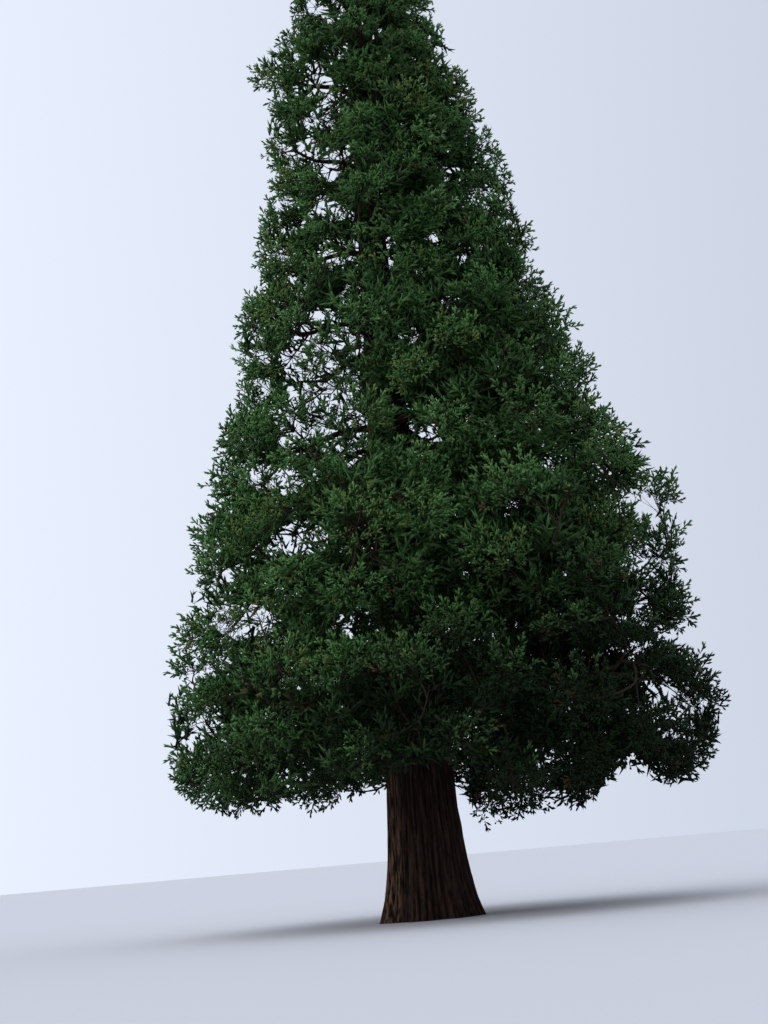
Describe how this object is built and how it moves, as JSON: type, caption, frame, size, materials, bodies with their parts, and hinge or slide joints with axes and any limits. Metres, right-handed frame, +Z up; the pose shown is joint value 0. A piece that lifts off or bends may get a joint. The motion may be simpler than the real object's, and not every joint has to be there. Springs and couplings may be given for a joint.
{
  "type": "giant sequoia tree",
  "caption": "Tall evergreen conifer: a straight fluted trunk with a flared foot, low boughs, and a dense cone of foliage down to head height.",
  "frame": {"origin": "centre of the flat cut under the trunk, at ground level", "axes": "+Z up the trunk, +X towards the side where the crown is widest, +Y towards the back of the tree as pictured"},
  "size_m": [14.8225, 14.7033, 30.4],
  "materials": {
    "bark": "rough, fibrous, deeply furrowed",
    "foliage": "matt, dense scale-like needles"
  },
  "bodies": {
    "root": {"trunk": "bark", "bough_low_1": "bark", "foliage_low_1": "foliage", "bough_low_2": "bark", "foliage_low_2": "foliage", "bough_low_3": "bark", "foliage_low_3": "foliage", "bough_low_4": "bark", "foliage_low_4": "foliage", "bough_low_5": "bark", "foliage_low_5": "foliage", "bough_low_6": "bark", "foliage_low_6": "foliage", "bough_low_7": "bark", "foliage_low_7": "foliage", "bough_low_8": "bark", "foliage_low_8": "foliage", "bough_second_1": "bark", "foliage_second_1": "foliage", "bough_second_2": "bark", "foliage_second_2": "foliage", "bough_second_3": "bark", "foliage_second_3": "foliage", "bough_second_4": "bark", "foliage_second_4": "foliage", "bough_second_5": "bark", "foliage_second_5": "foliage", "bough_second_6": "bark", "foliage_second_6": "foliage", "bough_second_7": "bark", "foliage_second_7": "foliage", "foliage_third_1": "foliage", "foliage_third_2": "foliage", "foliage_third_3": "foliage", "foliage_third_4": "foliage", "foliage_third_5": "foliage", "foliage_third_6": "foliage", "foliage_fourth_1": "foliage", "foliage_fourth_2": "foliage", "foliage_fourth_3": "foliage", "foliage_fourth_4": "foliage", "foliage_fourth_5": "foliage", "foliage_fourth_6": "foliage", "foliage_fifth_1": "foliage", "foliage_fifth_2": "foliage", "foliage_fifth_3": "foliage", "foliage_fifth_4": "foliage", "foliage_sixth_1": "foliage", "foliage_sixth_2": "foliage", "foliage_sixth_3": "foliage", "foliage_sixth_4": "foliage", "foliage_seventh_1": "foliage", "foliage_seventh_2": "foliage", "foliage_seventh_3": "foliage", "foliage_seventh_4": "foliage", "foliage_eighth_1": "foliage", "foliage_eighth_2": "foliage", "foliage_eighth_3": "foliage", "foliage_top_1": "foliage", "foliage_top_2": "foliage"}
  },
  "joints": []
}
